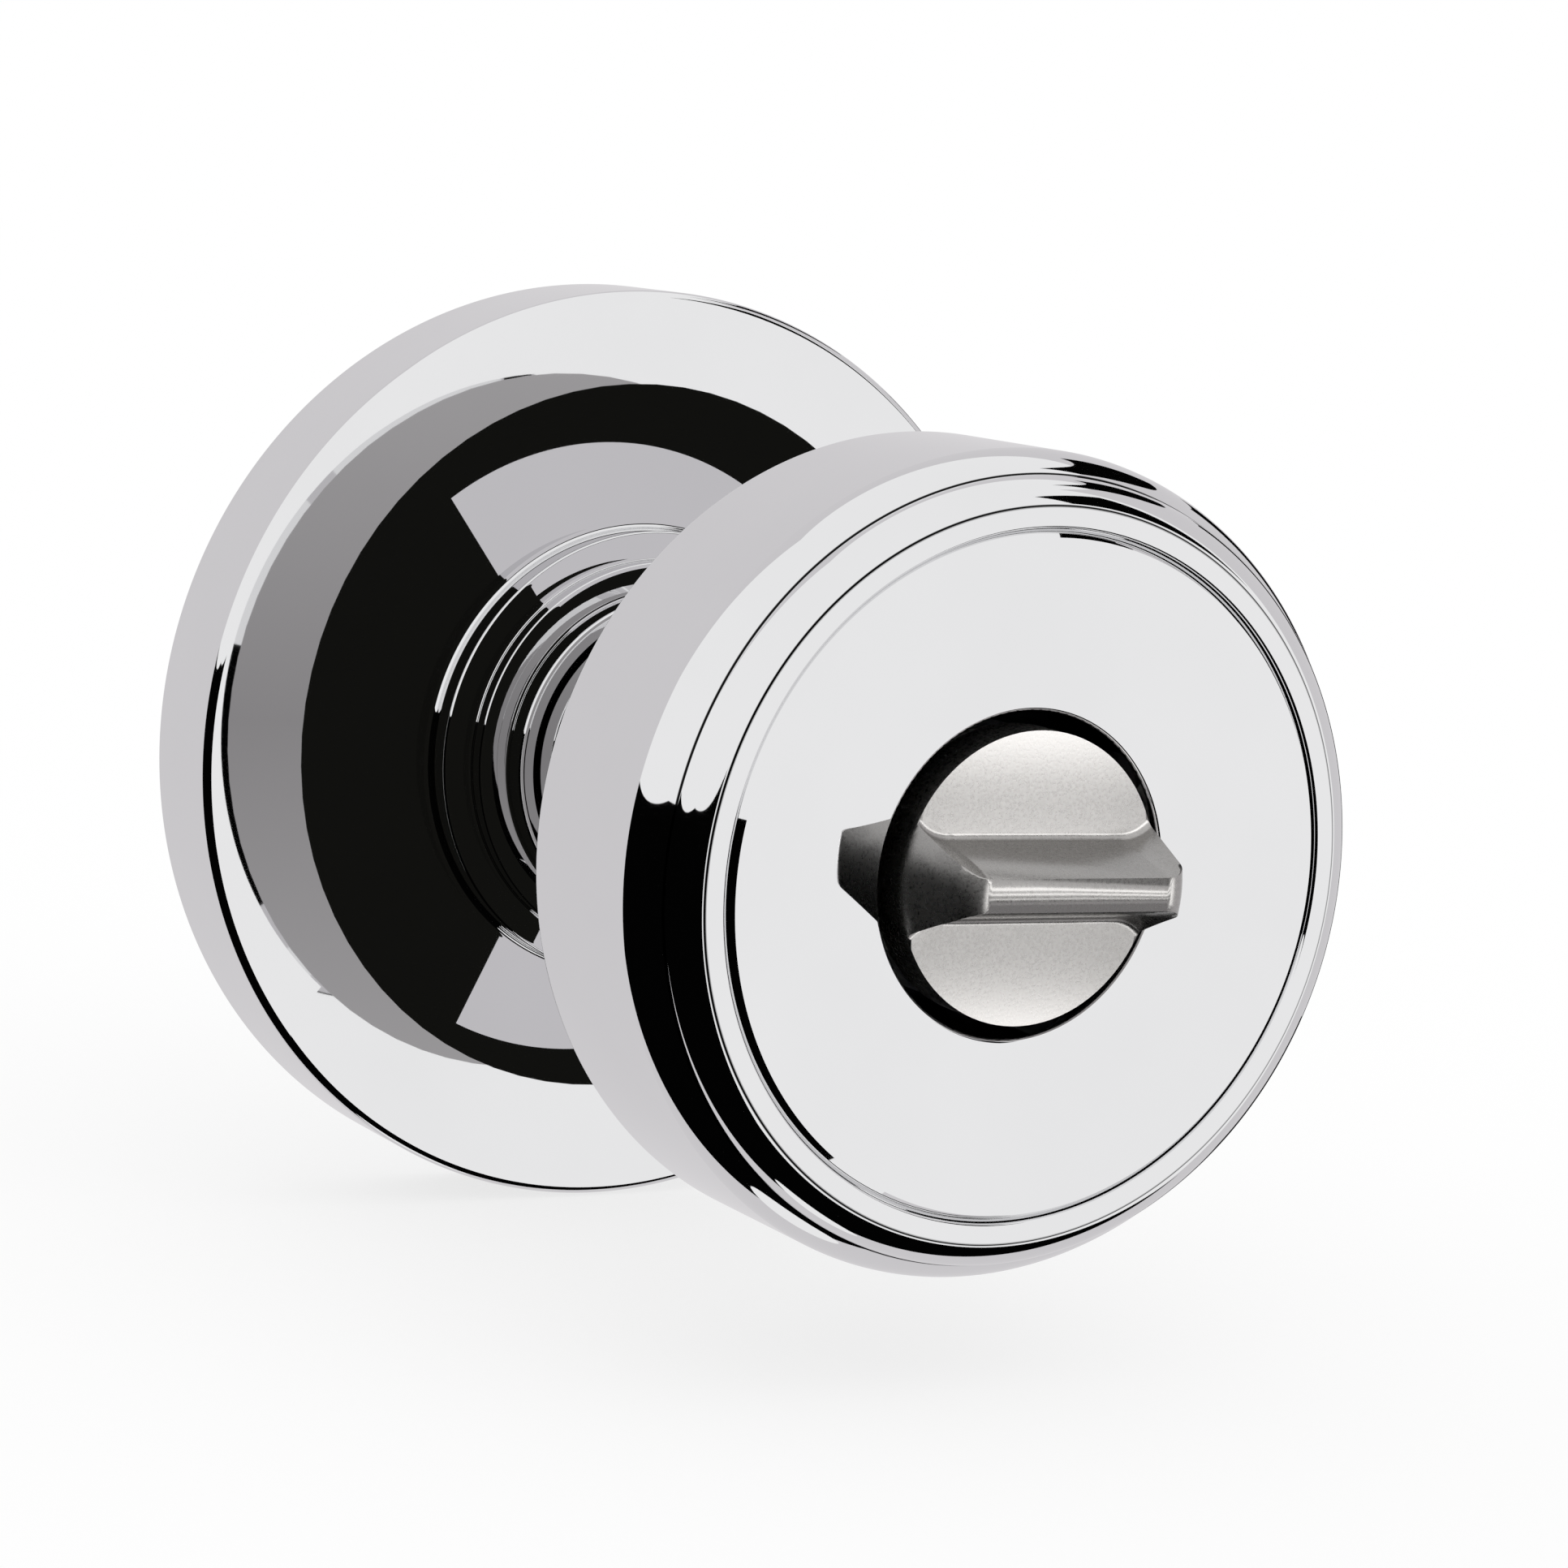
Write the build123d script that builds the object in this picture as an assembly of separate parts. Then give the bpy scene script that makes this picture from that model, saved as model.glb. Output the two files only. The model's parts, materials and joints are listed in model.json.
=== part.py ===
"""Privacy door knob, inside half: a chromed rose, a round knob and a turn button.

Each piece is drawn with X to the right, Y up and Z out from the door face, so its Z is its reach
from the door. The finished pieces are then stood against the door: the knob points along -Y, up is +Z.
Lengths are in millimetres and angles in degrees.
"""
import os
from math import asin, cos, degrees, hypot, radians, tan

from build123d import *

# Fixing to the door
post_spacing = 38.1
post_diameter = 8.0
post_length = 18.0
post_spigot_diameter = 6.0
post_sink_depth = 1.0
thread_bore = 4.2
thread_depth = 15.0
thread_mouth = 0.5

# Rose, a pressed cover with a stepped hub and a back edge rolled in behind the mounting plate
rose_diameter = 66.7
rose_depth = 9.0
rose_wall = 1.0
rose_edge_round = 0.6
hem_width = 2.8
hub_first_rise = 2.5
hub_second_rise = 1.5
hub_third_rise = 2.0
hub_first_ledge = 2.05
hub_second_ledge = 2.15
hub_root_round = 0.5
hub_edge_round = 0.35
hub_corner_round = 0.25

# Mounting plate and the bush that carries the knob
plate_thickness = 1.6
plate_joggle = 1.0
collar_wall = 2.0
collar_root_round = 0.8
bush_wall = 1.1
bush_flange = 1.2

# Knob shell
projection = 61.9
knob_diameter = 53.0
band_length = 11.6
back_depth = 12.9
back_blend = 12.0
band_back_round = 0.5
lower_bead_rise = 2.5
lower_bead_ledge = 1.42
lower_bead_bulge = 0.3
upper_bead = 1.8
rim_step = 0.1
rim_width = 1.35
knob_wall = 2.0
neck_diameter = 21.6
neck_entry = 3.0

# Knob face
face_thickness = 2.2
face_proud = 0.2
face_seat = 1.5
face_bevel = 0.5
face_dish = 2.0
well_gap = 1.05
well_lip_round = 0.3

# Shank, drive plate and spindle
shank_diameter = 18.0
shank_bore = 13.6
shank_flats = 14.0
socket_depth = 13.0
tail_end = 1.0
drive_thickness = 2.0
drive_arm_width = 7.0
drive_bend_round = 1.2
thrust_washer_thickness = 0.5
neck_washer_thickness = 0.4
ring_thickness = 1.0
ring_width = 2.0
ring_groove_depth = 0.8
ring_mouth = 28.0
ring_eye_radius = 1.5
ring_eye_hole = 0.7
spindle_side = 7.94
spindle_length = 46.0
spindle_corner_round = 0.8
spindle_flange = 1.2

# Return spring and the tabs that wind it
knob_turn = 55.0
wire = 1.2
coil_room = 0.9
coil_spacing = 1.08
leg_bend = 2.0
tab_width = 3.6
tab_thickness = 2.0
tab_spacing = 1.7
leg_overhang = 1.1

# Turn button
button_diameter = 18.7
button_rim = 1.0
button_depth = 3.2
ridge_height = 5.6
ridge_thickness = 2.1
ridge_end_lean = 1.3
ridge_end_round = 1.6
ridge_edge_round = 0.5
flank_angle = 15.0
scoop_overrun = 0.15
scoop_corner = 3.0
scoop_root_round = 0.5
button_turn = 90.0
stem_diameter = 7.0
stem_length = 12.6
stop_width = 2.2
stop_length = 1.5
button_bush_length = 3.0
button_flange = 1.0
friction_height = 0.6
friction_thickness = 0.35
friction_width = 2.4
clip_thickness = 0.7
clip_width = 2.8
clip_groove_depth = 0.8
bar_width = 4.6
bar_thickness = 1.5
bar_tail = 6.0
bar_grip = 5.0
pin_diameter = 1.6

# Clearances
running = 0.05
fit = 0.05
gap = 0.3
end_play = 0.15

# Radii that follow
rose_r = rose_diameter / 2
neck_r = neck_diameter / 2
shank_r = shank_diameter / 2
knob_r = knob_diameter / 2
button_r = button_diameter / 2
stem_r = stem_diameter / 2
hub_bore_r = neck_r + gap
hub_third_r = hub_bore_r + rose_wall
hub_second_r = hub_third_r + hub_second_ledge
hub_first_r = hub_second_r + hub_first_ledge
bush_r = shank_r + running
collar_bore_r = bush_r + bush_wall
collar_r = collar_bore_r + collar_wall
hem_r = rose_r - hem_width
upper_bead_r = knob_r - lower_bead_ledge
rim_r = upper_bead_r - upper_bead
face_r = rim_r - rim_width
seat_r = face_r - face_seat
shank_bore_r = shank_bore / 2
well_r = button_r + well_gap
coil_r = collar_r + coil_room + wire / 2

# Reaches that follow, all measured out from the door face
hub_first_top = rose_depth + hub_first_rise
hub_second_top = hub_first_top + hub_second_rise
hub_top = hub_second_top + hub_third_rise
bush_front = hub_top - neck_entry
collar_top = bush_front - bush_flange
neck_end = bush_front + neck_washer_thickness + end_play
rim_edge = projection - rim_step
upper_bead_start = rim_edge - upper_bead
band_front = upper_bead_start - lower_bead_rise
band_back = band_front - band_length
back_start = band_back - back_depth
face_front = projection + face_proud
face_back = face_front - face_thickness
well_edge = face_front - face_dish * (1 - (well_r / face_r) ** 2)
button_edge = well_edge + button_rim
button_top = button_edge + ridge_height
button_base = button_edge - button_depth
bush_flange_top = button_base - friction_height - fit
shank_front = bush_flange_top - button_flange
button_bush_back = shank_front - button_bush_length
stem_end = button_base - stem_length
drive_front = -end_play - thrust_washer_thickness
drive_back = drive_front - drive_thickness
ring_back = drive_back - ring_thickness
shank_tail = ring_back - tail_end
socket_floor = shank_tail + socket_depth
spindle_tail = shank_tail - spindle_length
tab_top = rose_depth - rose_wall - gap - wire / 2
stop_floor = shank_front + gap
clip_front = button_bush_back - end_play
clip_back = clip_front - clip_thickness
bar_top = stem_end + bar_grip
pin_reach = stem_end + bar_grip / 2

# Return spring and tabs: the two legs stand beside the tabs, so turning either way winds the coil
coil_bottom = plate_thickness + gap + wire / 2
coil_pitch = wire * coil_spacing
coil_turns = int((tab_top - coil_bottom - wire / 2) / coil_pitch)
leg_x = tab_width / 2 + fit + wire / 2
leg_angle = degrees(asin((leg_x - leg_bend) / (coil_r + leg_bend)))
leg_start = (coil_r + leg_bend) * cos(radians(leg_angle))
plate_tab_low = leg_start
plate_tab_high = plate_tab_low + tab_thickness
drive_tab_low = plate_tab_high + tab_spacing
drive_tab_high = drive_tab_low + tab_thickness
leg_end = drive_tab_high + leg_overhang


def turned(*corners):
    """Ring turned about Z from corners (radius, reach) or (radius, reach, rounding)."""
    points = [corner[:2] for corner in corners]
    roundings = [corner[2] if len(corner) == 3 else 0 for corner in corners]
    outline = FilletPolyline(*points, radius=roundings, close=True)
    return revolve(make_face(Plane.XZ * outline), Axis.Z)


def plate(outline, bottom, top):
    """Flat outline given thickness, from one reach to another."""
    return extrude(Pos(0, 0, bottom) * outline, top - bottom)


def block(width, low, high, bottom, top):
    """Block across the upright centre line, between two heights above the axis."""
    return plate(Pos(0, (low + high) / 2) * Rectangle(width, high - low), bottom, top)


def sector(inner_r, outer_r, half_angle, heading):
    """Flat piece of a ring, as wide as half_angle to each side of its heading."""
    ring = Circle(outer_r) - Circle(inner_r)
    far = 2 * outer_r
    side = far * tan(radians(half_angle))
    wedge = make_face(Polyline((0, 0), (far, side), (far, -side), close=True))
    return ring & (Rot(0, 0, heading) * wedge)


def make_rose():
    return turned(
        (hem_r, 0),
        (rose_r, 0, rose_edge_round),
        (rose_r, rose_depth, rose_edge_round),
        (hub_first_r, rose_depth, hub_root_round),
        (hub_first_r, hub_first_top, hub_edge_round),
        (hub_second_r, hub_first_top, hub_corner_round),
        (hub_second_r, hub_second_top, hub_edge_round),
        (hub_third_r, hub_second_top, hub_corner_round),
        (hub_third_r, hub_top, hub_edge_round),
        (hub_bore_r, hub_top),
        (hub_bore_r, hub_second_top - rose_wall),
        (hub_second_r - rose_wall, hub_second_top - rose_wall),
        (hub_second_r - rose_wall, hub_first_top - rose_wall),
        (hub_first_r - rose_wall, hub_first_top - rose_wall),
        (hub_first_r - rose_wall, rose_depth - rose_wall),
        (rose_r - rose_wall, rose_depth - rose_wall),
        (rose_r - rose_wall, rose_wall),
        (hem_r, rose_wall),
    )


def make_mounting_plate():
    """Disc whose rim steps forward over the rolled edge of the rose, with a collar and a spring tab."""
    step_r = hem_r - gap
    edge_r = rose_r - rose_wall - gap / 2
    rim_back = rose_wall + fit
    rim_front = rim_back + plate_thickness
    disc = turned(
        (collar_bore_r, 0),
        (step_r, 0),
        (step_r, rim_back),
        (edge_r, rim_back),
        (edge_r, rim_front),
        (step_r - plate_joggle, rim_front),
        (step_r - 2 * plate_joggle, plate_thickness),
        (collar_r, plate_thickness, collar_root_round),
        (collar_r, collar_top),
        (collar_bore_r, collar_top),
    )
    disc += block(tab_width, plate_tab_low, plate_tab_high, plate_thickness / 2, tab_top)
    stop_angle = knob_turn + degrees(asin((tab_width / 2 + gap / 2) / drive_tab_low))
    tab_reach_r = hypot(drive_tab_high, tab_width / 2)
    slot = sector(drive_tab_low - gap, tab_reach_r + gap, stop_angle, 90)
    disc -= plate(slot, -gap, plate_thickness + gap)
    for side in (-1, 1):
        disc -= Pos(side * post_spacing / 2, 0, 0) * make_post_head(fit)
    return disc


def make_post_head(clearance):
    """Spigot of a post with its sunk head, made larger by a clearance for the hole that holds it."""
    spigot_r = post_spigot_diameter / 2 + clearance
    return turned(
        (0, 0),
        (spigot_r, 0),
        (spigot_r, plate_thickness - post_sink_depth),
        (spigot_r + post_sink_depth, plate_thickness),
        (0, plate_thickness),
    )


def make_post(side):
    bore_r = thread_bore / 2
    sleeve = turned(
        (0, 0),
        (0, thread_depth - post_length),
        (bore_r, thread_depth - post_length),
        (bore_r, thread_mouth - post_length),
        (bore_r + thread_mouth, -post_length),
        (post_diameter / 2, -post_length),
        (post_diameter / 2, 0),
    )
    return Pos(side * post_spacing / 2, 0, 0) * (sleeve + make_post_head(0))


def make_bearing_bush():
    outer_r = collar_bore_r - fit
    return turned(
        (bush_r, 0),
        (outer_r, 0),
        (outer_r, collar_top),
        (neck_r, collar_top),
        (neck_r, bush_front),
        (bush_r, bush_front),
    )


def make_return_spring():
    turn = 360 * coil_turns + 2 * leg_angle
    rise = coil_pitch * turn / 360
    coil = Helix(coil_pitch, rise, coil_r, center=(0, 0, coil_bottom), lefthand=True)
    coil = Rot(0, 0, 90 + leg_angle) * coil
    bends = []
    legs = []
    for end, side in ((0, -1), (1, 1)):
        start = coil @ end
        foot = Vector(side * leg_x, leg_start, start.Z)
        bend = TangentArc(start, foot, tangent=(coil % end) * side)
        bends.append(bend)
        legs.append(Line(foot, foot + (bend % 1) * (leg_end - leg_start)))
    path = Wire([legs[0], bends[0], coil, bends[1], legs[1]])
    section = Plane(origin=path @ 0, z_dir=path % 0) * Circle(wire / 2)
    return sweep(section, path=path, is_frenet=True)


def washer(outer_r, bottom, thickness):
    """Flat ring on the shank."""
    return plate(Circle(outer_r) - Circle(shank_r + fit), bottom, bottom + thickness)


def make_knob_shell():
    """Neck, sloping back, plain band, two beads and a seat for the face, in one hollow casting."""
    bore_r = shank_r + fit
    cavity_r = knob_r - knob_wall
    slope = back_depth / (knob_r - neck_r)
    inner_start = back_start + knob_wall * hypot(1, slope)
    seat_back = face_back - face_seat
    outside = FilletPolyline(
        (bore_r, neck_end),
        (neck_r, neck_end),
        (neck_r, back_start),
        (knob_r, band_back),
        (knob_r, band_front),
        radius=[0, back_blend, band_back_round],
    )
    lower_bead = SagittaArc((knob_r, band_front), (upper_bead_r, upper_bead_start), lower_bead_bulge)
    round_bead = CenterArc((rim_r, upper_bead_start), upper_bead, 0, 90)
    inside = Polyline(
        (rim_r, rim_edge),
        (rim_r, projection),
        (face_r, projection),
        (face_r, face_back),
        (seat_r, face_back),
        (seat_r, seat_back),
        (cavity_r, seat_back - (cavity_r - seat_r)),
        (cavity_r, inner_start + slope * (cavity_r - neck_r)),
        (bore_r, inner_start + slope * (bore_r - neck_r)),
        (bore_r, neck_end),
    )
    outline = outside + lower_bead + round_bead + inside
    return revolve(make_face(Plane.XZ * outline), Axis.Z)


def make_knob_face():
    """Dished disc pressed into the shell, with a round well in its middle for the turn button."""
    edge_r = face_r - fit
    front_r = edge_r - face_bevel
    back_r = seat_r - gap
    front = TangentArc((0, face_front - face_dish), (front_r, face_front), tangent=(1, 0))
    back = TangentArc((0, face_back - face_dish), (back_r, face_back), tangent=(1, 0))
    edge = Polyline(
        (back_r, face_back),
        (edge_r, face_back),
        (edge_r, face_front - face_bevel),
        (front_r, face_front),
    )
    middle = Line((0, face_back - face_dish), (0, face_front - face_dish))
    disc = revolve(make_face(Plane.XZ * (middle + front + edge + back)), Axis.Z)
    disc -= plate(Circle(well_r), face_back - face_dish - gap, face_front + gap)
    rings = disc.edges().filter_by(GeomType.CIRCLE).filter_by(lambda edge: edge.is_closed)
    lip = rings.group_by(SortBy.RADIUS)[0].sort_by(Axis.Z)[-1]
    return fillet(lip, well_lip_round)


def make_knob_shank():
    """Tube that carries the knob: keyed and grooved at its tail, with a square socket for the spindle."""
    groove_r = shank_r - ring_groove_depth
    tube = turned(
        (0, shank_tail),
        (shank_r, shank_tail),
        (shank_r, ring_back - fit),
        (groove_r, ring_back - fit),
        (groove_r, drive_back),
        (shank_r, drive_back),
        (shank_r, shank_front),
        (shank_bore_r, shank_front),
        (shank_bore_r, socket_floor),
        (0, socket_floor),
    )
    socket = Rectangle(spindle_side + 2 * fit, spindle_side + 2 * fit)
    tube -= plate(socket, shank_tail - gap, socket_floor + gap)
    beside_flats = Circle(shank_diameter) - Rectangle(shank_flats, 2 * shank_diameter)
    return tube - plate(beside_flats, shank_tail - gap, -end_play)


def make_drive_plate():
    """Plate keyed to the shank, with an arm whose end is bent forward between the legs of the spring."""
    key = Circle(shank_r + fit) & Rectangle(shank_flats + 2 * fit, shank_diameter)
    arm_end = drive_tab_low - tab_spacing
    arm = Pos(0, arm_end / 2) * Rectangle(drive_arm_width, arm_end)
    neck = Pos(0, drive_tab_high / 2) * Rectangle(tab_width, drive_tab_high)
    bent = plate(Circle(collar_r) + arm + neck - key, drive_back, drive_front)
    bent += block(tab_width, drive_tab_low, drive_tab_high, drive_back, tab_top)
    bend = bent.edges().filter_by(Axis.X).group_by(Axis.Y)[-1].sort_by(Axis.Z)[0]
    return fillet(bend, drive_bend_round)


def make_retaining_ring():
    """Spring ring in the groove of the shank, open below, with an eye at each end for the pliers."""
    inner_r = shank_r - ring_groove_depth + fit
    outer_r = inner_r + ring_width
    eye_turn = ring_mouth + degrees(asin(ring_eye_radius / outer_r))
    outline = Circle(outer_r) - sector(inner_r / 2, 2 * outer_r, ring_mouth, -90)
    for side in (-1, 1):
        eye = Rot(0, 0, side * eye_turn) * Pos(0, -outer_r)
        outline += eye * Circle(ring_eye_radius)
        outline -= eye * Circle(ring_eye_hole)
    return plate(outline - Circle(inner_r), ring_back, drive_back)


def make_spindle():
    """Square tube with a collar at its front end, which keeps it from falling through its socket."""
    bore = hypot(bar_width, bar_thickness) + 2 * gap
    collar_top_reach = socket_floor + spindle_flange
    square = RectangleRounded(spindle_side, spindle_side, spindle_corner_round)
    tube = plate(square, spindle_tail, socket_floor)
    tube += plate(Circle(shank_bore_r - fit), socket_floor, collar_top_reach)
    return tube - plate(Rectangle(bore, bore), spindle_tail - gap, collar_top_reach + gap)


def make_button_bush():
    """Flanged bush in the front of the shank, cut away below so that the stop of the button can swing."""
    bush = turned(
        (stem_r + running, button_bush_back),
        (shank_bore_r - fit, button_bush_back),
        (shank_bore_r - fit, shank_front),
        (shank_r, shank_front),
        (shank_r, bush_flange_top),
        (stem_r + running, bush_flange_top),
    )
    inner_r = shank_r - stop_length - gap
    half_angle = button_turn / 2 + degrees(asin((stop_width / 2 + gap / 2) / inner_r))
    return bush - plate(sector(inner_r, shank_diameter, half_angle, -90), shank_front, bush_flange_top)


def make_friction_washer():
    """Dished spring washer that keeps the button where it is turned to."""
    inner_r = stem_r + gap
    outer_r = inner_r + friction_width
    top = bush_flange_top + friction_height
    return turned(
        (outer_r, bush_flange_top),
        (outer_r, bush_flange_top + friction_thickness),
        (inner_r, top),
        (inner_r, top - friction_thickness),
    )


def make_scoop():
    """What is cut away above the ridge of the button: a pocket whose wall leans back with the ridge."""
    rise = ridge_thickness / 2
    lean = tan(radians(flank_angle))
    near = ridge_thickness / 2 - rise * lean
    spread = (ridge_height + rise) * lean
    far = button_r + scoop_overrun + spread
    corner = scoop_corner + spread
    mouth = Plane(origin=(0, 0, button_top + rise), x_dir=(-1, 0, 0), z_dir=(0, 0, -1))
    outline = FilletPolyline(
        (-far, near),
        (far, near),
        (far, button_diameter),
        (-far, button_diameter),
        radius=[corner, corner, 0, 0],
        close=True,
    )
    pocket = extrude(mouth * make_face(outline), ridge_height + rise, taper=flank_angle)
    roots = pocket.edges().group_by(Axis.Z)[0]
    return fillet(roots.filter_by(lambda edge: abs(edge.center().Y) < button_r), scoop_root_round)


def make_turn_button():
    """Round head with a grip ridge between two scoops, a stop and a stem slotted for the lock bar."""
    groove_r = stem_r - clip_groove_depth
    button = turned(
        (0, stem_end),
        (stem_r, stem_end),
        (stem_r, clip_back - fit),
        (groove_r, clip_back - fit),
        (groove_r, clip_front),
        (stem_r, clip_front),
        (stem_r, button_base),
        (button_r, button_base),
        (button_r, button_edge),
        (button_r - ridge_end_lean, button_top, ridge_end_round),
        (0, button_top),
    )
    scoop = make_scoop()
    button = Rot(0, 0, 90) * button - scoop - mirror(scoop, Plane.XZ)
    stop = block(stop_width, shank_r - stop_length, shank_r, stop_floor, button_base)
    button += Rot(0, 0, button_turn / 2 - 180) * stop
    button -= plate(Rectangle(bar_width + 2 * fit, bar_thickness + 2 * fit), stem_end, bar_top)
    button -= make_bar_pin(fit)
    ridge_edges = button.edges().filter_by(Axis.X).group_by(Axis.Z)[-1]
    return fillet(ridge_edges, ridge_edge_round)


def make_bar_pin(clearance):
    """Cross pin of the lock bar, made larger by a clearance for the holes that hold it."""
    pin = Cylinder(pin_diameter / 2 + clearance, stem_diameter + 2 * clearance, rotation=(90, 0, 0))
    return Pos(0, 0, pin_reach) * pin


def make_button_clip():
    inner_r = stem_r - clip_groove_depth + fit
    outer_r = inner_r + clip_width
    outline = Circle(outer_r) - Circle(inner_r) - Pos(0, -outer_r) * Rectangle(2 * inner_r, 2 * outer_r)
    return plate(outline, clip_back, clip_front)


def make_lock_bar():
    bar = plate(Rectangle(bar_width, bar_thickness), spindle_tail - bar_tail, bar_top - fit)
    return bar - make_bar_pin(fit)


pieces = {
    "rose": make_rose(),
    "mounting_plate": make_mounting_plate(),
    "left_post": make_post(-1),
    "right_post": make_post(1),
    "bearing_bush": make_bearing_bush(),
    "return_spring": make_return_spring(),
    "neck_washer": washer(neck_r, bush_front, neck_washer_thickness),
    "knob_shell": make_knob_shell(),
    "knob_face": make_knob_face(),
    "knob_shank": make_knob_shank(),
    "thrust_washer": washer(collar_r, drive_front, thrust_washer_thickness),
    "drive_plate": make_drive_plate(),
    "retaining_ring": make_retaining_ring(),
    "spindle": make_spindle(),
    "button_bush": make_button_bush(),
    "friction_washer": make_friction_washer(),
    "turn_button": make_turn_button(),
    "button_clip": make_button_clip(),
    "lock_bar": make_lock_bar(),
    "bar_pin": make_bar_pin(0),
}

os.makedirs("parts", exist_ok=True)
for node, piece in pieces.items():
    export_step(Plane.XZ * piece, f"parts/{node}.step")
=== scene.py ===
"""Privacy door knob, inside half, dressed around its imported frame.

The knob points along -Y out of the door, +Z is up, and the door face is the plane y = 0. A reach is a
distance out from the door face. Sizes are written in millimetres and turned to metres as they are used.
"""

import json
import math

import bmesh
import bpy
from mathutils import Matrix, Vector

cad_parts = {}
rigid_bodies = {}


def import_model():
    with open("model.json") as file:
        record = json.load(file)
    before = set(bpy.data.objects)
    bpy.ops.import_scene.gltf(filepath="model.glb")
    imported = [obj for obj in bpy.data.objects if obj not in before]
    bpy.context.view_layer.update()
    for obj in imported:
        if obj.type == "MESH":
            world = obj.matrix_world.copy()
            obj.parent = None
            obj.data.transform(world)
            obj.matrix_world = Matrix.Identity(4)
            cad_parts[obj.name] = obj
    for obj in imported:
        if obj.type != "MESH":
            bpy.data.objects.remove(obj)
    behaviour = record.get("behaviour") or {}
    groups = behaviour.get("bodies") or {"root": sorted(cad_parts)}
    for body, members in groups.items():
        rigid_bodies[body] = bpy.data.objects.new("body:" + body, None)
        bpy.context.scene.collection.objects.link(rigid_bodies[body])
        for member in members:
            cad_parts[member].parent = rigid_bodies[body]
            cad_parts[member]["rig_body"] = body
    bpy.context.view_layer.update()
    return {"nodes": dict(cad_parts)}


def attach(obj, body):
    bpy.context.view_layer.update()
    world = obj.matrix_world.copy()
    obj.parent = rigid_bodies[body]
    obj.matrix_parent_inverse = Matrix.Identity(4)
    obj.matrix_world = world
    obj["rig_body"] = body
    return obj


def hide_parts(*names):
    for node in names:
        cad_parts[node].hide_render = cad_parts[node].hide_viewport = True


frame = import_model()

# Mounting plate: the steel pressing behind the rose that carries the bush, the posts and the spring.
# It is stamped from sheet, drawn up into a collar at its middle and bright zinc plated.
MM = 0.001
WELD = 0.001
SHARP_ANGLE = 30


def linear(code):
    """Colour of an sRGB hex code as linear red, green, blue and alpha."""
    channels = [int(code[i:i + 2], 16) / 255 for i in (0, 2, 4)]
    return [c / 12.92 if c <= 0.04045 else ((c + 0.055) / 1.055) ** 2.4 for c in channels] + [1.0]


def add(tree, kind, inputs=None, **settings):
    """New node with its settings, and with each named input set or linked."""
    node = tree.nodes.new(kind)
    for name, value in settings.items():
        setattr(node, name, value)
    for name, value in (inputs or {}).items():
        if isinstance(value, bpy.types.NodeSocket):
            tree.links.new(value, node.inputs[name])
        else:
            node.inputs[name].default_value = value
    return node


def new_material(name):
    """Empty material with its node tree, its principled shader and its Object coordinates."""
    material = bpy.data.materials.new(name)
    material.use_nodes = True
    tree = material.node_tree
    shader = tree.nodes["Principled BSDF"]
    place = add(tree, "ShaderNodeTexCoord").outputs["Object"]
    return material, tree, shader, place


def smoothed(node, material):
    """Copy of a CAD node with its triangles joined, so that its round faces shade as round."""
    source = frame["nodes"][node]
    mesh = source.data.copy()
    work = bmesh.new()
    work.from_mesh(mesh)
    bmesh.ops.remove_doubles(work, verts=work.verts, dist=WELD * MM)
    bmesh.ops.dissolve_degenerate(work, dist=WELD * MM, edges=work.edges)
    work.to_mesh(mesh)
    work.free()
    mesh.materials.clear()
    mesh.materials.append(material)
    mesh.shade_smooth()
    mesh.set_sharp_from_angle(angle=math.radians(SHARP_ANGLE))
    piece = bpy.data.objects.new(node + "_smooth", mesh)
    bpy.context.scene.collection.objects.link(piece)
    weighted = piece.modifiers.new("weighted normals", "WEIGHTED_NORMAL")
    weighted.keep_sharp = True
    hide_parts(node)
    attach(piece, source["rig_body"])
    return piece


# Bright zinc: a thin bluish plate, faintly clouded, so that it mirrors in soft patches.
zinc, tree, shader, place = new_material("bright_zinc_plate")
ZINC_CLOUD = 6.0
cloud = add(tree, "ShaderNodeTexNoise", {"Vector": place, "Scale": 1 / (ZINC_CLOUD * MM), "Detail": 4.0})
tone = add(tree, "ShaderNodeValToRGB", {"Fac": cloud.outputs["Fac"]})
tone.color_ramp.elements[0].position = 0.3
tone.color_ramp.elements[0].color = linear("a9adb2")
tone.color_ramp.elements[1].position = 0.7
tone.color_ramp.elements[1].color = linear("cfd1d3")
haze = add(tree, "ShaderNodeMapRange", {"Value": cloud.outputs["Fac"], "To Min": 0.24, "To Max": 0.4})
tree.links.new(tone.outputs["Color"], shader.inputs["Base Color"])
tree.links.new(haze.outputs["Result"], shader.inputs["Roughness"])
shader.inputs["Metallic"].default_value = 1.0
smoothed("mounting_plate", zinc)

# Posts: turned steel sleeves riveted into the plate. Screws from the far side of the door pull up in
# their threads.
for side in ("left_post", "right_post"):
    smoothed(side, zinc)

# Bushes and plain washers: natural acetal, injection moulded. They keep the metal pieces from rubbing.
# They look milky and slightly glossy, with a faint grain from the mould.
acetal, tree, shader, place = new_material("natural_acetal")
MOULD_GRAIN = 0.4
MOULD_DEPTH = 0.05
grain = add(tree, "ShaderNodeTexNoise", {"Vector": place, "Scale": 1 / (MOULD_GRAIN * MM), "Detail": 2.0})
tone = add(tree, "ShaderNodeMix", {"Factor": grain.outputs["Fac"]}, data_type="RGBA")
tone.inputs["A"].default_value = linear("e4e3da")
tone.inputs["B"].default_value = linear("efeee8")
bump = add(tree, "ShaderNodeBump", {"Height": grain.outputs["Fac"], "Strength": 0.08})
bump.inputs["Distance"].default_value = MOULD_DEPTH * MM
tree.links.new(tone.outputs["Result"], shader.inputs["Base Color"])
tree.links.new(bump.outputs["Normal"], shader.inputs["Normal"])
shader.inputs["Roughness"].default_value = 0.38
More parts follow.
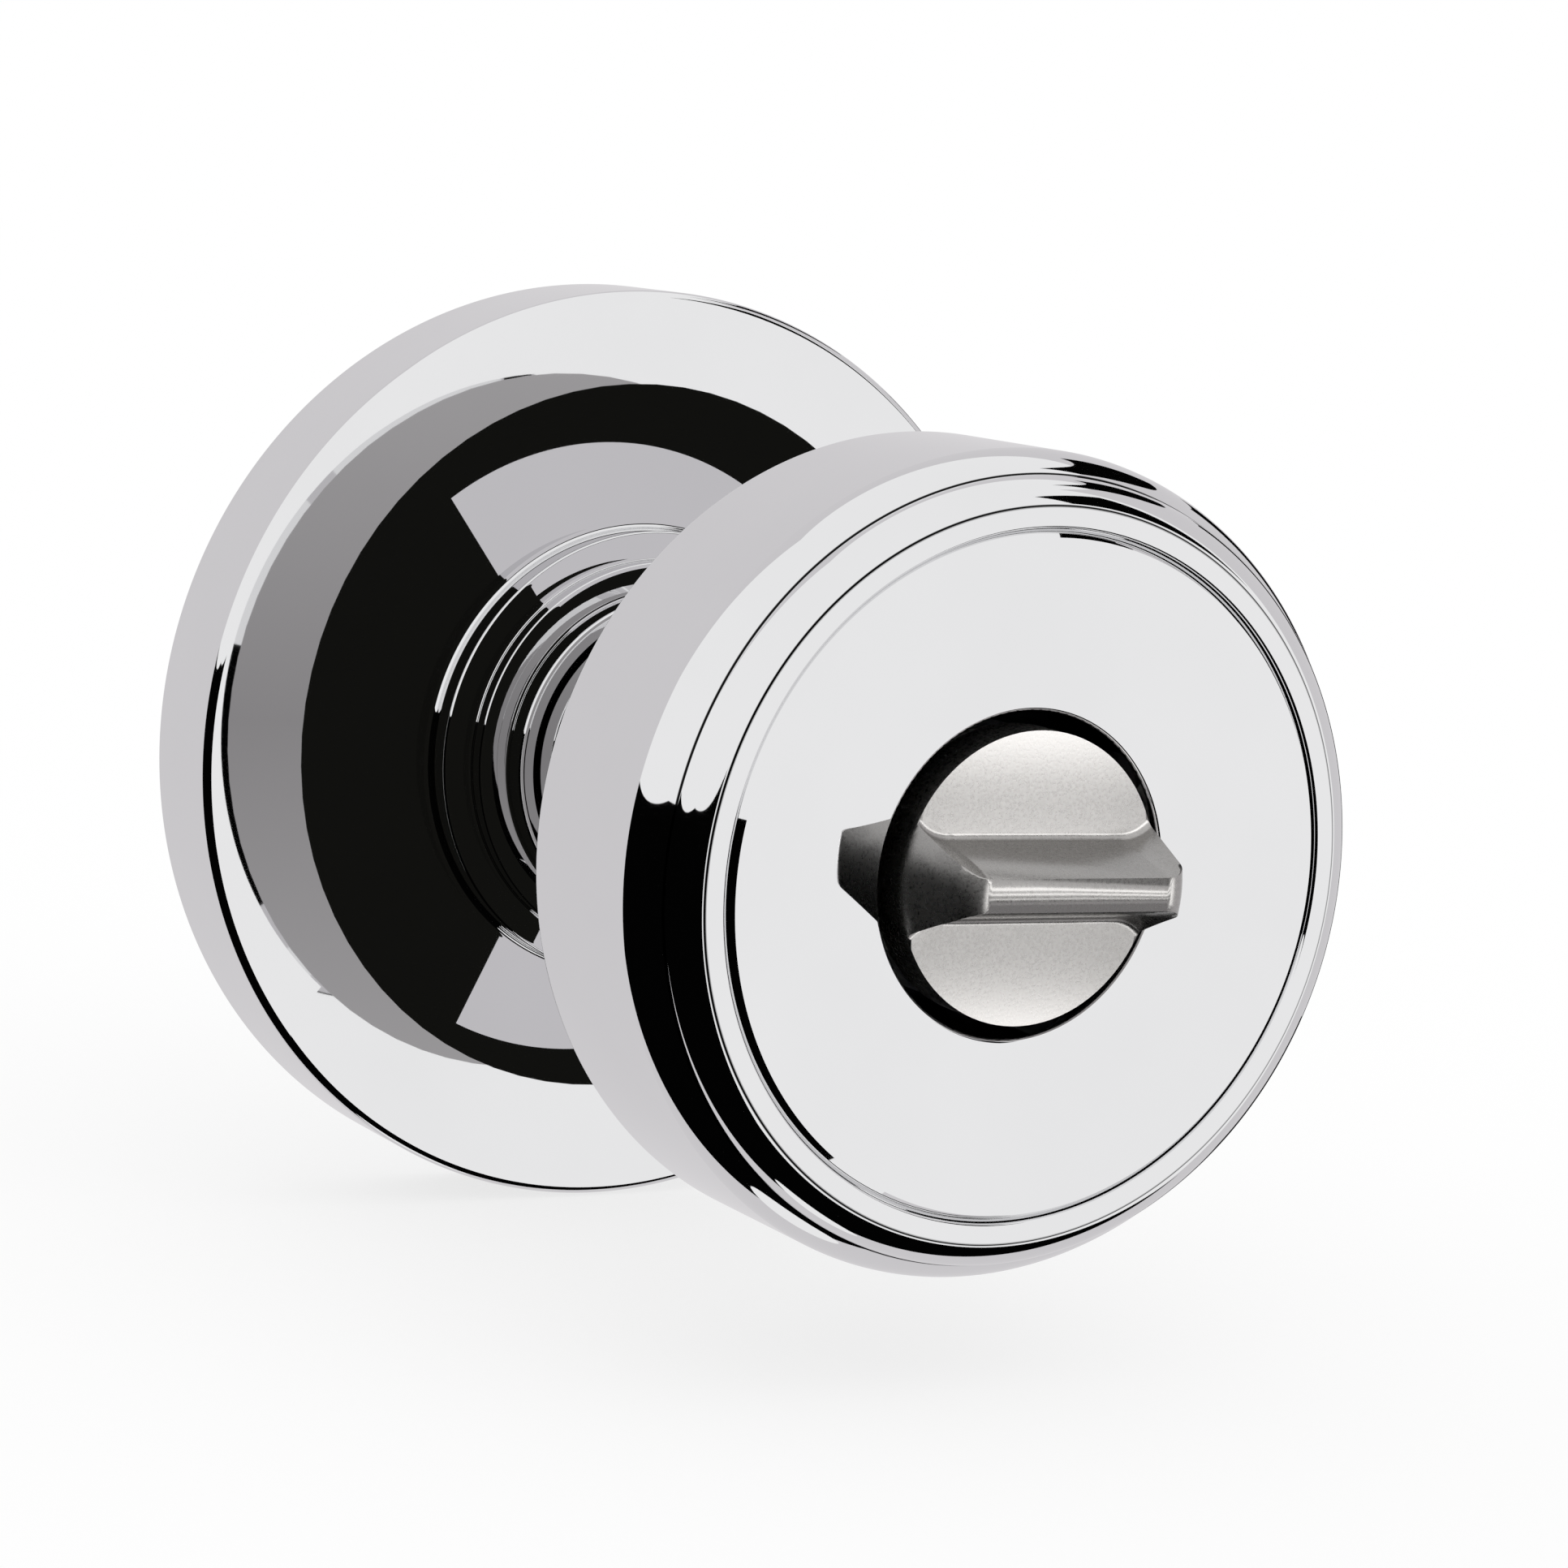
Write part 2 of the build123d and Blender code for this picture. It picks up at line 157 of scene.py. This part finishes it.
for ring in ("bearing_bush", "neck_washer", "thrust_washer", "button_bush"):
    smoothed(ring, acetal)

# Spring, clips and pin: the return spring is cold drawn wire, wound close round the collar with a leg at
# each end. The clips, the dished washer and the pin are of spring steel too. The oil of their making
# leaves them dark and half bright.
spring_steel, tree, shader, place = new_material("oiled_spring_steel")
DRAWN_MARK = 0.25
marks = add(tree, "ShaderNodeTexNoise", {"Vector": place, "Scale": 1 / (DRAWN_MARK * MM), "Detail": 3.0})
tone = add(tree, "ShaderNodeMix", {"Factor": marks.outputs["Fac"]}, data_type="RGBA")
tone.inputs["A"].default_value = linear("6f7073")
tone.inputs["B"].default_value = linear("8e8f91")
haze = add(tree, "ShaderNodeMapRange", {"Value": marks.outputs["Fac"], "To Min": 0.22, "To Max": 0.42})
tree.links.new(tone.outputs["Result"], shader.inputs["Base Color"])
tree.links.new(haze.outputs["Result"], shader.inputs["Roughness"])
shader.inputs["Metallic"].default_value = 1.0
for sprung in ("return_spring", "retaining_ring", "friction_washer", "button_clip", "bar_pin"):
    smoothed(sprung, spring_steel)

# Rose: the round cover on the door, spun from brass sheet with a stepped hub and a rolled back edge.
# It is buffed to a mirror and chrome plated, so every edge is a small true radius.
ROSE_RADIUS = 33.35
ROSE_DEPTH = 9.0
ROSE_WALL = 1.0
ROSE_EDGE = 0.6
HEM_RADIUS = 30.55
HUB_RADII = (16.3, 14.25, 12.1)
HUB_TOPS = (11.5, 13.0, 15.0)
HUB_BORE = 11.1
HUB_ROOT = 0.5
HUB_EDGE = 0.35
HUB_CORNER = 0.25
AROUND = 288
ARC_STEPS = 10


def arc(centre, radius, start, turn, steps=ARC_STEPS):
    """Samples of an arc, each a point (radius, reach) and its normal. Start and turn are in radians."""
    side = 1 if turn > 0 else -1
    samples = []
    for step in range(steps + 1):
        angle = start + turn * step / steps
        out = Vector((math.cos(angle), math.sin(angle)))
        samples.append((Vector(centre) + radius * out, side * out))
    return samples


def outline(corners, closed=True):
    """Straight and round spans through corners (radius, reach, rounding), with exact normals.

    The corners go round with the metal on their left.
    """
    count = len(corners)
    points = [Vector(corner[:2]) for corner in corners]
    bends = []
    for i, corner in enumerate(corners):
        rounding = corner[2] if len(corner) == 3 else 0
        if not rounding:
            bends.append(None)
            continue
        into = (points[i] - points[i - 1]).normalized()
        out = (points[(i + 1) % count] - points[i]).normalized()
        turn = math.atan2(into.x * out.y - into.y * out.x, into.dot(out))
        side = 1 if turn > 0 else -1
        right = Vector((into.y, -into.x))
        begin = points[i] - into * rounding * math.tan(abs(turn) / 2)
        facing = side * right
        bends.append(arc(begin - facing * rounding, rounding, math.atan2(facing.y, facing.x), turn))
    spans = []
    for i in range(count if closed else count - 1):
        after = (i + 1) % count
        begin = bends[i][-1][0] if bends[i] else points[i]
        end = bends[after][0][0] if bends[after] else points[after]
        along = (end - begin).normalized()
        right = Vector((along.y, -along.x))
        spans.append([(begin, right), (end, right)])
        if bends[after]:
            spans.append(bends[after])
    return spans


def turned(name, spans):
    """Mesh turned about the knob's axis from the spans of a closed outline, with exact normals."""
    rings = [sample[0] for span in spans for sample in span[:-1]]
    headings = [2 * math.pi * j / AROUND for j in range(AROUND)]
    corners = [
        (ring.x * math.cos(heading) * MM, -ring.y * MM, ring.x * math.sin(heading) * MM)
        for ring in rings
        for heading in headings
    ]
    faces = []
    normals = []
    first = 0
    for span in spans:
        for (_, normal), (_, next_normal) in zip(span, span[1:]):
            here = first * AROUND
            there = (first + 1) % len(rings) * AROUND
            for j in range(AROUND):
                k = (j + 1) % AROUND
                faces.append((here + j, here + k, there + k, there + j))
                for facing, heading in ((normal, j), (normal, k), (next_normal, k), (next_normal, j)):
                    turn = headings[heading]
                    normals.append((facing.x * math.cos(turn), -facing.y, facing.x * math.sin(turn)))
            first += 1
    mesh = bpy.data.meshes.new(name)
    mesh.from_pydata(corners, [], faces)
    mesh.shade_smooth()
    mesh.normals_split_custom_set(normals)
    return mesh


def fitted(name, mesh, material, node):
    """Piece made from a mesh, which stands for a CAD node and moves with it."""
    mesh.materials.append(material)
    piece = bpy.data.objects.new(name, mesh)
    bpy.context.scene.collection.objects.link(piece)
    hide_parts(node)
    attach(piece, frame["nodes"][node]["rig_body"])


# Polished chrome: a bright mirror, faintly cool. The buffing under the plate leaves it slightly wavy, and
# wiping leaves a haze that only shows as a faint change of gloss.
chrome, tree, shader, place = new_material("polished_chrome")
BUFFED_WAVE = 5.0
BUFFED_DEPTH = 0.02
WIPED_HAZE = 11.0
wave = add(tree, "ShaderNodeTexNoise", {"Vector": place, "Scale": 1 / (BUFFED_WAVE * MM), "Detail": 1.0})
haze = add(tree, "ShaderNodeTexNoise", {"Vector": place, "Scale": 1 / (WIPED_HAZE * MM), "Detail": 5.0})
gloss = add(tree, "ShaderNodeMapRange", {"Value": haze.outputs["Fac"], "To Min": 0.01, "To Max": 0.04})
tone = add(tree, "ShaderNodeMix", {"Factor": haze.outputs["Fac"]}, data_type="RGBA")
tone.inputs["A"].default_value = linear("e3e3e4")
tone.inputs["B"].default_value = linear("e8e8e9")
bump = add(tree, "ShaderNodeBump", {"Height": wave.outputs["Fac"], "Strength": 0.1})
bump.inputs["Distance"].default_value = BUFFED_DEPTH * MM
tree.links.new(tone.outputs["Result"], shader.inputs["Base Color"])
tree.links.new(gloss.outputs["Result"], shader.inputs["Roughness"])
tree.links.new(bump.outputs["Normal"], shader.inputs["Normal"])
shader.inputs["Metallic"].default_value = 1.0

rose_outline = outline([
    (HEM_RADIUS, 0),
    (ROSE_RADIUS, 0, ROSE_EDGE),
    (ROSE_RADIUS, ROSE_DEPTH, ROSE_EDGE),
    (HUB_RADII[0], ROSE_DEPTH, HUB_ROOT),
    (HUB_RADII[0], HUB_TOPS[0], HUB_EDGE),
    (HUB_RADII[1], HUB_TOPS[0], HUB_CORNER),
    (HUB_RADII[1], HUB_TOPS[1], HUB_EDGE),
    (HUB_RADII[2], HUB_TOPS[1], HUB_CORNER),
    (HUB_RADII[2], HUB_TOPS[2], HUB_EDGE),
    (HUB_BORE, HUB_TOPS[2]),
    (HUB_BORE, HUB_TOPS[1] - ROSE_WALL),
    (HUB_RADII[1] - ROSE_WALL, HUB_TOPS[1] - ROSE_WALL),
    (HUB_RADII[1] - ROSE_WALL, HUB_TOPS[0] - ROSE_WALL),
    (HUB_RADII[0] - ROSE_WALL, HUB_TOPS[0] - ROSE_WALL),
    (HUB_RADII[0] - ROSE_WALL, ROSE_DEPTH - ROSE_WALL),
    (ROSE_RADIUS - ROSE_WALL, ROSE_DEPTH - ROSE_WALL),
    (ROSE_RADIUS - ROSE_WALL, ROSE_WALL),
    (HEM_RADIUS, ROSE_WALL),
])
fitted("rose_cover", turned("rose_cover", rose_outline), chrome, "rose")

# Knob shell: the hollow knob, cast in zinc, buffed and chrome plated. A plain band runs round it, and
# two beads step in from the band to the land around the face. The land's inner edge is broken to a small
# radius.
KNOB_RADIUS = 26.5
NECK_RADIUS = 10.8
SHELL_BORE = 9.05
SHELL_WALL = 2.0
NECK_END = 12.55
BACK_START = 33.0
BACK_BLEND = 12.0
BAND_BACK = 45.9
BAND_EDGE = 0.5
LOWER_BEAD_RISE = 2.5
LOWER_BEAD_LEDGE = 1.42
LOWER_BEAD_BULGE = 0.3
UPPER_BEAD = 1.8
LAND = 61.9
LAND_STEP = 0.1
LAND_INNER = 21.93
LAND_EDGE = 0.2
FACE_BACK = 59.9
SEAT_INNER = 20.43
SEAT_THICKNESS = 1.5

bead_top = LAND - LAND_STEP
bead_joint = bead_top - UPPER_BEAD
band_front = bead_joint - LOWER_BEAD_RISE
upper_bead_radius = KNOB_RADIUS - LOWER_BEAD_LEDGE
land_outer = upper_bead_radius - UPPER_BEAD
slope = (BAND_BACK - BACK_START) / (KNOB_RADIUS - NECK_RADIUS)
inner_start = BACK_START + SHELL_WALL * math.hypot(1, slope)
cavity = KNOB_RADIUS - SHELL_WALL
seat_back = FACE_BACK - SEAT_THICKNESS
shell_outline = outline([
    (SHELL_BORE, NECK_END),
    (NECK_RADIUS, NECK_END),
    (NECK_RADIUS, BACK_START, BACK_BLEND),
    (KNOB_RADIUS, BAND_BACK, BAND_EDGE),
    (KNOB_RADIUS, band_front),
], closed=False)
bead_low = Vector((KNOB_RADIUS, band_front))
bead_high = Vector((upper_bead_radius, bead_joint))
chord = bead_high - bead_low
bead_radius = (chord.length ** 2 / 4 + LOWER_BEAD_BULGE ** 2) / (2 * LOWER_BEAD_BULGE)
facing = Vector((chord.y, -chord.x)).normalized()
bead_centre = (bead_low + bead_high) / 2 - facing * (bead_radius - LOWER_BEAD_BULGE)
from_centre = bead_low - bead_centre
sweep = 2 * math.asin(chord.length / 2 / bead_radius)
shell_outline.append(arc(bead_centre, bead_radius, math.atan2(from_centre.y, from_centre.x), sweep))
shell_outline.append(arc((land_outer, bead_joint), UPPER_BEAD, 0, math.pi / 2, 2 * ARC_STEPS))
shell_outline += outline([
    (land_outer, bead_top),
    (land_outer, LAND),
    (LAND_INNER, LAND, LAND_EDGE),
    (LAND_INNER, FACE_BACK),
    (SEAT_INNER, FACE_BACK),
    (SEAT_INNER, seat_back),
    (cavity, seat_back - (cavity - SEAT_INNER)),
    (cavity, inner_start + slope * (cavity - NECK_RADIUS)),
    (SHELL_BORE, inner_start + slope * (SHELL_BORE - NECK_RADIUS)),
    (SHELL_BORE, NECK_END),
], closed=False)

# Chrome of the shell: the same plate, with painted shade: a thin dark line painted into its colour at the
# bottom of the joint between the beads and of the small step up to the land, in place of the dark
# reflections of these creases.
PAINTED_SHADE_CORE = 0.08
PAINTED_SHADE_FADE = 0.13
shell_chrome_with_painted_shade = chrome.copy()
shell_chrome_with_painted_shade.name = "polished_chrome_with_painted_joint_shade"
tree = shell_chrome_with_painted_shade.node_tree
base_color = tree.nodes["Principled BSDF"].inputs["Base Color"]
bright = base_color.links[0].from_socket
place = tree.nodes["Texture Coordinate"].outputs["Object"]
axes = add(tree, "ShaderNodeSeparateXYZ", {"Vector": place})
across = add(tree, "ShaderNodeCombineXYZ", {"X": axes.outputs["X"], "Z": axes.outputs["Z"]})
radius = add(tree, "ShaderNodeVectorMath", {0: across.outputs["Vector"]}, operation="LENGTH")
profile = add(tree, "ShaderNodeCombineXYZ", {"X": radius.outputs["Value"], "Y": axes.outputs["Y"]})
for joint_radius, joint_reach in ((upper_bead_radius, bead_joint), (land_outer, bead_top)):
    away = add(tree, "ShaderNodeVectorMath", {0: profile.outputs["Vector"]}, operation="DISTANCE")
    away.inputs[1].default_value = (joint_radius * MM, -joint_reach * MM, 0)
    clear = add(tree, "ShaderNodeMapRange", {"Value": away.outputs["Value"]})
    clear.inputs["From Min"].default_value = PAINTED_SHADE_CORE * MM
    clear.inputs["From Max"].default_value = PAINTED_SHADE_FADE * MM
    # Painted shade: the colour is near black at each joint and fades back to the chrome a little further
    # out.
    tone = add(tree, "ShaderNodeMix", {"Factor": clear.outputs["Result"]}, data_type="RGBA")
    tone.inputs["A"].default_value = linear("141414")
    tree.links.new(bright, tone.inputs["B"])
    bright = tone.outputs["Result"]
tree.links.new(bright, base_color)
fitted("knob_body", turned("knob_body", shell_outline), shell_chrome_with_painted_shade, "knob_shell")

# Knob face: a chromed disc pressed into the front of the shell. It is dished like a shallow mirror, and
# the lip of the round well in its middle is broken to a small radius.
FACE_RADIUS = 21.88
FACE_FRONT = 62.1
FACE_BEVEL = 0.5
FACE_DISH = 2.0
DISH_BACK_RADIUS = 20.13
WELL_RADIUS = 10.4
WELL_LIP = 0.3
DISH_STEPS = 40

front_edge = FACE_RADIUS - FACE_BEVEL
front_radius = (front_edge ** 2 + FACE_DISH ** 2) / (2 * FACE_DISH)
back_radius = (DISH_BACK_RADIUS ** 2 + FACE_DISH ** 2) / (2 * FACE_DISH)
front_centre = Vector((0, FACE_FRONT - FACE_DISH + front_radius))
back_centre = Vector((0, FACE_BACK - FACE_DISH + back_radius))
back_inner = -math.acos(WELL_RADIUS / back_radius)
back_outer = -math.acos(DISH_BACK_RADIUS / back_radius)
lip_drop = math.sqrt((front_radius + WELL_LIP) ** 2 - (WELL_RADIUS + WELL_LIP) ** 2)
lip_centre = Vector((WELL_RADIUS + WELL_LIP, front_centre.y - lip_drop))
front_outer = -math.acos(front_edge / front_radius)
front_inner = math.atan2(-lip_drop, WELL_RADIUS + WELL_LIP)
well_back = back_centre.y + back_radius * math.sin(back_inner)
face_outline = [arc(back_centre, back_radius, back_inner, back_outer - back_inner, DISH_STEPS)]
face_outline += outline([
    (DISH_BACK_RADIUS, FACE_BACK),
    (FACE_RADIUS, FACE_BACK),
    (FACE_RADIUS, FACE_FRONT - FACE_BEVEL),
    (front_edge, FACE_FRONT),
], closed=False)
face_outline.append(arc(front_centre, front_radius, front_outer, front_inner - front_outer, DISH_STEPS))
face_outline.append(arc(lip_centre, WELL_LIP, front_inner + math.pi, -front_inner))
face_outline += outline([(WELL_RADIUS, lip_centre.y), (WELL_RADIUS, well_back)], closed=False)
fitted("knob_face_disc", turned("knob_face_disc", face_outline), chrome, "knob_face")

# Shank, drive plate, spindle and lock bar: the turned tube inside the knob, the pressed arm keyed to its
# tail, the square tube that works the latch and the flat bar inside it, all of zinc plated steel.
for inner in ("knob_shank", "drive_plate", "spindle", "lock_bar"):
    smoothed(inner, zinc)

# Turn button: a die-cast knob with a ridge to grip, blasted with fine beads and plated in satin nickel.
# The blasting leaves a close soft grain, so it mirrors nothing sharply and its highlights are broad. The
# grain is drawn coarser than it is, so that it shows.
nickel, tree, shader, place = new_material("satin_nickel")
BLAST_GRAIN = 0.22
BLAST_DEPTH = 0.02
grain = add(tree, "ShaderNodeTexNoise", {"Vector": place, "Scale": 1 / (BLAST_GRAIN * MM), "Detail": 2.0})
tone = add(tree, "ShaderNodeMix", {"Factor": grain.outputs["Fac"]}, data_type="RGBA")
tone.inputs["A"].default_value = linear("a19f9d")
tone.inputs["B"].default_value = linear("b8b6b4")
haze = add(tree, "ShaderNodeMapRange", {"Value": grain.outputs["Fac"], "To Min": 0.22, "To Max": 0.34})
bump = add(tree, "ShaderNodeBump", {"Height": grain.outputs["Fac"], "Strength": 0.2})
bump.inputs["Distance"].default_value = BLAST_DEPTH * MM
tree.links.new(tone.outputs["Result"], shader.inputs["Base Color"])
tree.links.new(haze.outputs["Result"], shader.inputs["Roughness"])
tree.links.new(bump.outputs["Normal"], shader.inputs["Normal"])
shader.inputs["Metallic"].default_value = 1.0
button_piece = smoothed("turn_button", nickel)

# Floor: a wide sheet of white paper just under the rose. Most of its white is its own glow, so that it
# stays white to the edge of the picture, and the rest is lit, so that it keeps the object's shadow.
FLOOR_GAP = 0.15
FLOOR_HALF = 4000
FLOOR_GLOW = 0.75


def stage_piece(name, material, corners, faces):
    """Piece of the set, from corners in millimetres."""
    mesh = bpy.data.meshes.new(name)
    mesh.from_pydata([Vector(corner) * MM for corner in corners], [], faces)
    mesh.materials.append(material)
    piece = bpy.data.objects.new(name, mesh)
    bpy.context.scene.collection.objects.link(piece)
    return piece


paper = bpy.data.materials.new("white_paper")
paper.use_nodes = True
tree = paper.node_tree
tree.nodes.clear()
lit = add(tree, "ShaderNodeBsdfDiffuse", {"Color": linear("ffffff")})
glow = add(tree, "ShaderNodeEmission", {"Color": linear("ffffff")})
mixed = add(tree, "ShaderNodeMixShader", {"Fac": FLOOR_GLOW})
tree.links.new(lit.outputs["BSDF"], mixed.inputs[1])
tree.links.new(glow.outputs["Emission"], mixed.inputs[2])
add(tree, "ShaderNodeOutputMaterial", {"Surface": mixed.outputs["Shader"]})
floor_level = -ROSE_RADIUS - FLOOR_GAP
floor_corners = [
    (-FLOOR_HALF, -FLOOR_HALF, floor_level),
    (FLOOR_HALF, -FLOOR_HALF, floor_level),
    (FLOOR_HALF, FLOOR_HALF, floor_level),
    (-FLOOR_HALF, FLOOR_HALF, floor_level),
]
floor = stage_piece("floor", paper, floor_corners, [(0, 1, 2, 3)])
floor.visible_glossy = False
floor.visible_diffuse = False

# Cards: black velvet and grey paper curved round the knob, as a photographer sets them round polished
# work to draw its edges. Only the reflections show them. A card in a nearer row covers those behind it.
CARD_CENTRE = Vector((0, -35, 0))
CARD_STEPS = 24
CARD_FOOT = -80
FIRST_ROW = 900
SECOND_ROW = 920
THIRD_ROW = 930
LAST_ROW = 950


def glowing(name, code):
    """Plain glowing surface for a card."""
    material = bpy.data.materials.new(name)
    material.use_nodes = True
    tree = material.node_tree
    tree.nodes.clear()
    glow = add(tree, "ShaderNodeEmission", {"Color": linear(code)})
    add(tree, "ShaderNodeOutputMaterial", {"Surface": glow.outputs["Emission"]})
    return material


def only_mirrored(piece):
    """Leave a piece of the set to the reflections."""
    piece.visible_camera = False
    piece.visible_diffuse = False
    piece.visible_shadow = False


def card(name, material, row, headings, highs, lows=(CARD_FOOT, CARD_FOOT)):
    """Card curved round the knob between two headings, in degrees from straight ahead to the right.

    Its upper and lower edges each run from one elevation to another, in degrees.
    """
    corners = []
    for i in range(CARD_STEPS + 1):
        along = i / CARD_STEPS
        heading = math.radians(headings[0] + (headings[1] - headings[0]) * along)
        low = lows[0] + (lows[1] - lows[0]) * along
        high = highs[0] + (highs[1] - highs[0]) * along
        for j in range(CARD_STEPS + 1):
            lift = math.radians(low + (high - low) * j / CARD_STEPS)
            level = Vector((math.sin(heading), -math.cos(heading), 0)) * math.cos(lift)
            corners.append(CARD_CENTRE + row * (level + Vector((0, 0, math.sin(lift)))))
    count = CARD_STEPS + 1
    faces = [
        (i * count + j, i * count + j + 1, (i + 1) * count + j + 1, (i + 1) * count + j)
        for i in range(CARD_STEPS)
        for j in range(CARD_STEPS)
    ]
    only_mirrored(stage_piece(name, material, corners, faces))


black = glowing("black_velvet", "030303")
lavender = glowing("lavender_grey_paper", "dcdadc")
card("black_left", black, FIRST_ROW, headings=(-142, -60), highs=(6, 6))
card("black_front", black, FIRST_ROW, headings=(-60, 17), highs=(6, -4))
card("black_low", black, FIRST_ROW, headings=(17, 58), highs=(-23, -28))
card("black_strip", black, SECOND_ROW, headings=(34, 48), highs=(30, 34), lows=(7, 7))
card("black_slant", black, SECOND_ROW, headings=(75, 122), highs=(58, 46), lows=(50, 28))
card("black_edge", black, SECOND_ROW, headings=(116, 130), highs=(25, 16), lows=(-20, -20))
card("black_behind", black, THIRD_ROW, headings=(104, 128), highs=(-18, -15), lows=(-29, -29))
card("right_paper", lavender, LAST_ROW, headings=(52, 218), highs=(48, 62))

# Rings: flat glowing rings round the neck, facing the rose, which paint the white, grey, black and pale
# bands that it
# mirrors: painted reflections, and the black ring painted shade. They are clear from their other side, so
# the back of the knob mirrors the rose.
RING_STEPS = 72
RING_HOLE = 12.6
RING_EDGE = 26.4
GREY_EDGE = 26.5
GREY_MIDDLE = "939192"
GREY_ENDS = "aaa8a9"


def show_on_one_side(material):
    """Leave a card of this material clear when it is seen from its back."""
    tree = material.node_tree
    side = add(tree, "ShaderNodeNewGeometry")
    clear = add(tree, "ShaderNodeBsdfTransparent")
    mixed = add(tree, "ShaderNodeMixShader", {"Fac": side.outputs["Backfacing"]})
    tree.links.new(tree.nodes["Emission"].outputs["Emission"], mixed.inputs[1])
    tree.links.new(clear.outputs["BSDF"], mixed.inputs[2])
    tree.links.new(mixed.outputs["Shader"], tree.nodes["Material Output"].inputs["Surface"])


def ring_card(name, material, reach, radii, clocks=(0, 360), aside=0):
    """Flat ring round the neck, facing the rose, between two clock angles in degrees from the top.

    Its outer edge can stand aside to the right.
    """
    corners = []
    for i in range(RING_STEPS + 1):
        clock = math.radians(clocks[0] + (clocks[1] - clocks[0]) * i / RING_STEPS)
        for radius, shift in zip(radii, (0, aside)):
            corners.append((radius * math.sin(clock) + shift, -reach, radius * math.cos(clock)))
    faces = [(2 * i, 2 * i + 1, 2 * i + 3, 2 * i + 2) for i in range(RING_STEPS)]
    only_mirrored(stage_piece(name, material, corners, faces))


# Ring glows: painted reflections in white, grey and pale, and painted shade in charcoal.
white = glowing("white_painted_reflection", "ffffff")
grey = glowing("grey_paper", GREY_MIDDLE)
charcoal = glowing("charcoal_painted_shade", "141412")
pale = glowing("pale_painted_glint", "d0ced1")
for material in (white, grey, charcoal, pale):
    show_on_one_side(material)

# Grey ring: its painted reflection grows lighter from the height of the axis to its upper and lower ends.
tree = grey.node_tree
place = add(tree, "ShaderNodeTexCoord").outputs["Object"]
height = add(tree, "ShaderNodeSeparateXYZ", {"Vector": place}).outputs["Z"]
from_axis = add(tree, "ShaderNodeMath", {0: height}, operation="ABSOLUTE").outputs["Value"]
share = add(tree, "ShaderNodeMapRange", {"Value": from_axis, "From Max": GREY_EDGE * MM})
tone = add(tree, "ShaderNodeMix", {"Factor": share.outputs["Result"]}, data_type="RGBA")
tone.inputs["A"].default_value = linear(GREY_MIDDLE)
tone.inputs["B"].default_value = linear(GREY_ENDS)
tree.links.new(tone.outputs["Result"], tree.nodes["Emission"].inputs["Color"])
ring_card("white_ring", white, reach=23, radii=(RING_EDGE, 34), clocks=(-140, 8))
ring_card("grey_ring", grey, reach=21.5, radii=(RING_HOLE, GREY_EDGE))
ring_card("black_ring", charcoal, reach=14.5, radii=(RING_HOLE, RING_EDGE), aside=2.6)
ring_card("upper_glint", pale, reach=14.3, radii=(14, 22), clocks=(-38, 75))
ring_card("lower_glint", pale, reach=14.3, radii=(14, 23.5), clocks=(178, 205))

# Button lamps: three narrow strips close in front of the knob, which light only the satin button. They
# give its two halves and its ridge their highlights, as small reflectors would.
LAMP_REACH = 81.5
LAMP_WIDTH = 24
LAMP_ASIDE = 12
LAMP_GLOW = 2.2
button_only = bpy.data.collections.new("lit_by_strips")
button_only.objects.link(button_piece)
strips = (("upper_strip", 4.5, 12.0), ("ridge_strip", -3.9, -1.2), ("lower_strip", -19.0, -12.5))
for name, low, high in strips:
    light = bpy.data.lights.new(name, "AREA")
    light.shape = "RECTANGLE"
    light.size = LAMP_WIDTH * MM
    light.size_y = (high - low) * MM
    light.energy = LAMP_GLOW * math.pi * light.size * light.size_y
    strip = bpy.data.objects.new(name, light)
    strip.location = Vector((LAMP_ASIDE, -LAMP_REACH, (low + high) / 2)) * MM
    strip.rotation_euler = (math.radians(90), 0, 0)
    strip.light_linking.receiver_collection = button_only
    strip.visible_camera = False
    bpy.context.scene.collection.objects.link(strip)

# Surround: plain white on all sides, at a strength of 1, so that a colour renders about as it is written.
# The metal mirrors it wherever no card stands.
world = bpy.data.worlds.new("white_surround")
world.use_nodes = True
backdrop = world.node_tree.nodes["Background"]
backdrop.inputs["Color"].default_value = linear("ffffff")
backdrop.inputs["Strength"].default_value = 1.0
bpy.context.scene.world = world
bpy.context.scene.view_settings.view_transform = "Standard"

# Camera: the photograph's own viewpoint, a little above the knob and to its left. The lens is longer than
# the photograph's, so that the knob fills the frame.
CAMERA_PLACE = Vector((-143.26, -269.69, 39.07))
CAMERA_RIGHT = Vector((0.8603, -0.5025, 0.0859))
CAMERA_BACK = Vector((-0.5098, -0.8496, 0.1354))
SENSOR = 36
LENS = 52.34
ZOOM = 1.8
NEAREST = 10
camera = bpy.data.cameras.new("camera")
camera.sensor_width = SENSOR
camera.lens = LENS * ZOOM
camera.clip_start = NEAREST * MM
viewer = bpy.data.objects.new("camera", camera)
up = CAMERA_BACK.cross(CAMERA_RIGHT)
turn = Matrix((CAMERA_RIGHT, up, CAMERA_BACK)).transposed()
viewer.matrix_world = Matrix.Translation(CAMERA_PLACE * MM) @ turn.to_4x4()
bpy.context.scene.collection.objects.link(viewer)
bpy.context.scene.camera = viewer

bpy.context.view_layer.update()
